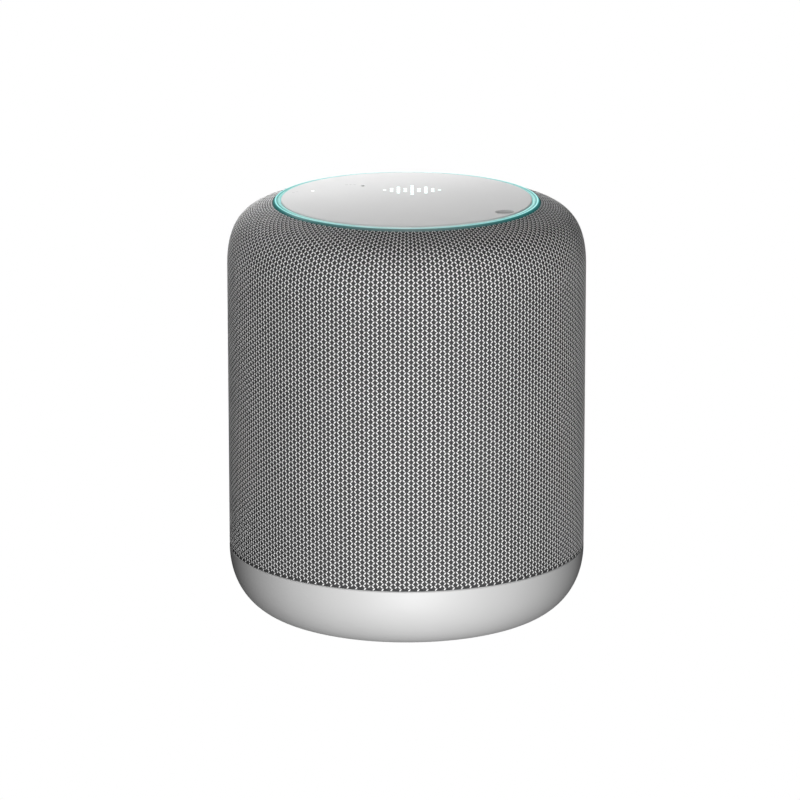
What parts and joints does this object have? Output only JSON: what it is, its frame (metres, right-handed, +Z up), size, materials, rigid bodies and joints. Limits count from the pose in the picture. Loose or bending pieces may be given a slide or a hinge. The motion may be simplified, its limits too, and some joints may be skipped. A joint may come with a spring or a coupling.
{
  "type": "smart speaker",
  "caption": "Drum-shaped tabletop smart speaker with a knitted sleeve, satin base, touch panel with a glowing ring, push key, upward woofer, reflector cone and two passive radiators.",
  "frame": {"origin": "centre of the foot, at the plane it rests on", "axes": "+Z up along the drum's axis, -Y towards the front (the side away from the power inlet), +X to the right seen from the front"},
  "size_m": [0.13, 0.13, 0.1532],
  "materials": {
    "foot_rubber": "matte, fine moulded grain",
    "silver_plastic": "satin silver paint",
    "screw_steel": "zinc plated",
    "board_laminate": "solder mask green",
    "chip_black": "moulded epoxy",
    "plated_steel": "zinc plated",
    "bare_aluminium": "extruded",
    "capacitor_sleeve": "shrink sleeve",
    "jack_black": "moulded",
    "pin_nickel": "nickel plated",
    "ribbon_white": "flat flexible cable",
    "housing_black": "moulded, light texture",
    "gasket_foam": "closed-cell foam",
    "basket_grey": "powder coated",
    "magnet_ferrite": "sintered",
    "former_amber": "polyimide",
    "coil_copper": "enamelled winding",
    "cone_fibre": "pressed fibre",
    "surround_rubber": "smooth butyl",
    "spider_cloth": "resin-dipped cloth",
    "lead_red": "insulated wire",
    "radiator_steel": "satin coated",
    "antenna_brass": "stamped",
    "led_white": "phosphor window",
    "reflector_white": "moulded white",
    "ring_glow": "frosted light guide, lit cyan",
    "dot_glow": "frosted light pipe, lit",
    "touch_film_clear": "sensor film",
    "panel_silver": "satin silver paint",
    "plunger_grey": "moulded",
    "knit_grey": "two-tone knitted mesh"
  },
  "bodies": {
    "housing": {"rubber_foot": "foot_rubber", "mic_gasket": "foot_rubber", "base_shell": "silver_plastic", "base_screws": "screw_steel", "board_screws": "screw_steel", "lid_screws": "screw_steel", "woofer_screws": "screw_steel", "radiator_screws": "screw_steel", "lens_screws": "screw_steel", "top_frame_screws": "screw_steel", "top_board_screws": "screw_steel", "main_board": "board_laminate", "top_board": "board_laminate", "main_chips": "chip_black", "microphone": "chip_black", "rf_shield": "plated_steel", "woofer_yoke": "plated_steel", "woofer_top_plate": "plated_steel", "heat_sink": "bare_aluminium", "capacitors": "capacitor_sleeve", "dc_jack": "jack_black", "ribbon_connectors": "jack_black", "key_switch": "jack_black", "jack_pin": "pin_nickel", "ribbon_cable": "ribbon_white", "enclosure_body": "housing_black", "enclosure_lid": "housing_black", "acoustic_lens": "housing_black", "top_frame": "housing_black", "grille_cage": "housing_black", "sleeve_top_hoop": "housing_black", "sleeve_bottom_hoop": "housing_black", "radiator_frame_left": "housing_black", "radiator_frame_right": "housing_black", "enclosure_gasket": "gasket_foam", "woofer_gasket": "gasket_foam", "woofer_basket": "basket_grey", "woofer_magnet": "magnet_ferrite", "woofer_surround": "surround_rubber", "radiator_surround_left": "surround_rubber", "radiator_surround_right": "surround_rubber", "woofer_spider": "spider_cloth", "woofer_leads": "lead_red", "wifi_antennas": "antenna_brass", "board_leds": "led_white", "ring_reflector": "reflector_white", "light_ring": "ring_glow", "led_dots": "dot_glow", "status_lens": "dot_glow", "touch_film": "touch_film_clear", "top_panel": "panel_silver", "fabric_sleeve": "knit_grey"},
    "key": {"action_key": "panel_silver", "switch_plunger": "plunger_grey"},
    "woofer": {"woofer_cone": "cone_fibre", "dust_cap": "cone_fibre", "coil_former": "former_amber", "voice_coil": "coil_copper"},
    "left_radiator": {"radiator_plate_left": "radiator_steel"},
    "right_radiator": {"radiator_plate_right": "radiator_steel"}
  },
  "joints": [
    {"name": "key_press", "type": "slide", "parent": "housing", "child": "key", "axis": [0, 0, -1], "range_m": [0, 0.00035], "stiffness_N_per_m": 1500, "springref_m": -0.0003},
    {"name": "cone_travel", "type": "slide", "parent": "housing", "child": "woofer", "axis": [0, 0, 1], "range_m": [-0.003, 0.003], "stiffness_N_per_m": 1300, "deforming": ["woofer_surround", "woofer_spider"]},
    {"name": "left_radiator_travel", "type": "slide", "parent": "housing", "child": "left_radiator", "axis": [-1, 0, 0], "range_m": [-0.0038, 0.0038], "stiffness_N_per_m": 900},
    {"name": "right_radiator_travel", "type": "slide", "parent": "housing", "child": "right_radiator", "axis": [1, 0, 0], "range_m": [-0.0038, 0.0038], "stiffness_N_per_m": 900}
  ],
  "couplings": [
    {"joint": "left_radiator_travel", "follows": "cone_travel", "ratio": -1.25},
    {"joint": "right_radiator_travel", "follows": "cone_travel", "ratio": -1.25}
  ]
}
